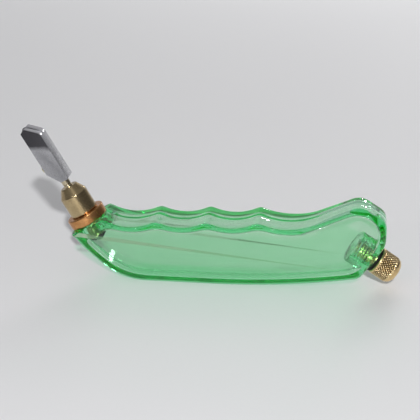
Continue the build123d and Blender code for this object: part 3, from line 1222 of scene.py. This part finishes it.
def fillerCap():
    radius, plug, end = cap["radius"], cap["plugRadius"], cap["endRound"]
    low, high = -cap["plugLength"], cap["length"]
    shoulder = high - end
    profile = [
        (0, low), (plug - 0.5, low), (plug, low + 0.5), (plug, 0),
        (radius - 0.4, 0), (radius, 0.4), (radius, shoulder),
    ]
    profile = fineProfile(easeCorners(profile, 0.12), cap["up"])
    for step in range(1, cap["endSteps"] + 1):
        angle = pi / 2 * step / cap["endSteps"]
        profile.append((radius - end * (1 - cos(angle)), shoulder + end * sin(angle)))
    dimple, floorHeight = cap["dimple"], high - cap["dimpleDepth"]
    profile += [(dimple + cap["dimpleSlope"], high), (dimple, floorHeight), (0, floorHeight)]
    plugShape = threaded(cap["threadPitch"], cap["threadDepth"], low + 0.3, -cap["gasket"] + 0.1)

    def shape(angle, radius, height):
        if height < 0 and radius < cap["plugRadius"] + 0.01:
            return plugShape(angle, radius, height)
        low, high = cap["baseBand"], cap["knurlTop"]
        if low < height < high and radius > cap["radius"] - 0.2:
            fade = min(1.0, (height - low) / cap["fadeLow"], (high - height) / cap["fadeHigh"])
            return radius - cap["depth"] * (1 - knurl(angle, height)) * fade
        return radius

    thing = lathe("fillerCap", profile, capFrame, turns=cap["around"], shape=shape)
    return settle(thing, capBrass, "cap", ("filler_cap",), angle=60)


def capGasket():
    ring = ringLathe("capGasket", cap["gasketRadius"], cap["plugRadius"] + 0.02, -cap["gasket"], 0, capFrame,
                     ease=0.3, turns=128)
    return settle(ring, rubber, "gasket", ("cap_gasket",))


fillerCap()
capGasket()
print("cap made")


kept = {
    "spindle_o_ring": rubber,
    "return_spring": springSteel,
    "spring_seat": stemSteel,
    "retaining_ring": springSteel,
    "spindle_clip": springSteel,
    "oil_wick": felt,
}
for name, material in kept.items():
    node = frame["nodes"][name]
    for slot in node.material_slots:
        slot.link = "OBJECT"
        slot.material = material
print("inner pieces finished")


stage = {
    "floorSize": 3.0,
    "floorColour": (0.70, 0.70, 0.71, 1),
    "floorFleck": (0.72, 0.72, 0.73, 1),
    "target": (-0.001, 0.0, 0.02954),
    "distance": 0.4974,
    "pitch": 22.72,
    "yaw": 6.59,
    "lens": 107.14,
    "sensor": 36.0,
    # each lamp's turn and rise in degrees round the target, then its distance, size and power
    "lamps": {
        "key": (9.0, 33.0, 1.1, 0.045, 10.6),
        "glint": (-22, 33, 1.1, 0.035, 0.25),
        "fill": (-40, 65, 1.2, 0.8, 0.5),
    },
    "backPlace": (0.0, 0.95, 0.55),
    "backTarget": (0.0, 0.5, 0.0),
    "backSize": 0.7,
    "backPower": 3.3,
    "rearLamps": {
        "rearGlint0": (161, 16, 0.9, 0.06, 0.25),
        "rearGlint1": (169, 16, 0.9, 0.06, 0.25),
    },
    "room": (0.95, 0.95, 0.97, 1),
    "ceiling": (1.25, 1.25, 1.27, 1),
    "window": (2.8, 2.8, 2.88, 1),
    "darkSide": (0.13, 0.12, 0.13, 1),
    "roomStrength": 0.19,
    "bounces": 16,
    "mostBounces": 20,
}


def around(turn, rise, distance):
    # a place seen from the target: turned from straight in front, raised from level
    turn, rise = radians(turn), radians(rise)
    arm = Vector((sin(turn) * cos(rise), -cos(turn) * cos(rise), sin(rise)))
    return Vector(stage["target"]) + arm * distance


def aim(thing, target):
    thing.rotation_euler = (Vector(target) - thing.location).to_track_quat("-Z", "Y").to_euler()


def floor():
    half = stage["floorSize"]
    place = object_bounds()[0][2]
    points = [(-half, -half, place), (half, -half, place), (half, half, place), (-half, half, place)]
    sheet = meshObject("floor", points, [(0, 1, 2, 3)])
    material, wire = startMaterial("paleFloor")
    grain = noise(wire, 900, detail=3)
    base = grain.mixed(stage["floorColour"], stage["floorFleck"])
    bump = bumped(wire, grain, 0.03, 0.5 * mm)
    shader = wire.make("ShaderNodeBsdfPrincipled", {}, {"Base Color": base, "Roughness": 0.6, "Normal": bump})
    finishMaterial(wire, shader)
    sheet.data.materials.append(material)
    sheet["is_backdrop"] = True


def areaLight(name, place, target, size, power):
    light = bpy.data.lights.new(name, "AREA")
    light.shape = "DISK"
    light.size = size
    light.energy = power
    lamp = bpy.data.objects.new(name, light)
    lamp.location = place
    bpy.context.scene.collection.objects.link(lamp)
    aim(lamp, target)
    return lamp


def lampsRound(lamps):
    for name, (turn, rise, distance, size, power) in lamps.items():
        areaLight(name, around(turn, rise, distance), stage["target"], size, power)


def backLight():
    # lifts the far floor only, so it stays out of reflections and out of the acrylic
    lamp = areaLight("back", stage["backPlace"], stage["backTarget"], stage["backSize"], stage["backPower"])
    lamp.visible_glossy = False
    lamp.visible_transmission = False


def world():
    # a soft room: bright behind and above, dimmer low on the right
    sky = bpy.data.worlds.new("softRoom")
    sky.use_nodes = True
    tree = sky.node_tree
    tree.nodes.clear()
    wire = Wire(tree)
    place = wire.make("ShaderNodeTexCoord", out=0)
    rightward, backward, upward = (
        wire.make("ShaderNodeSeparateXYZ", {}, {0: place}, out=index) for index in range(3)
    )
    lift = upward.clamped(-0.1, 0.8)
    side = (rightward - lift * 0.8).clamped(0.25, 0.85)
    colour = lift.mixed(stage["room"], stage["ceiling"])
    colour = backward.clamped(0.55, 0.95).mixed(colour, stage["window"])
    colour = side.mixed(colour, stage["darkSide"])
    background = wire.make("ShaderNodeBackground", {}, {"Color": colour, "Strength": stage["roomStrength"]})
    output = tree.nodes.new("ShaderNodeOutputWorld")
    wire.plug(output.inputs["Surface"], background)
    bpy.context.scene.world = sky


def camera():
    lens = bpy.data.cameras.new("camera")
    lens.lens = stage["lens"]
    lens.sensor_width = stage["sensor"]
    lens.clip_start = 0.01
    lens.clip_end = 50
    viewer = bpy.data.objects.new("camera", lens)
    viewer.location = around(stage["yaw"], stage["pitch"], stage["distance"])
    bpy.context.scene.collection.objects.link(viewer)
    aim(viewer, stage["target"])
    bpy.context.scene.camera = viewer


floor()
world()
lampsRound(stage["lamps"])
backLight()
lampsRound(stage["rearLamps"])
camera()
print("stage set")

# light is turned back many times inside the acrylic, and too few bounces leave black bands
limits = bpy.context.scene.cycles
limits.max_bounces = stage["mostBounces"]
limits.glossy_bounces = stage["bounces"]
limits.transmission_bounces = stage["bounces"]
limits.transparent_max_bounces = stage["bounces"]
bpy.context.scene.view_settings.view_transform = "Standard"
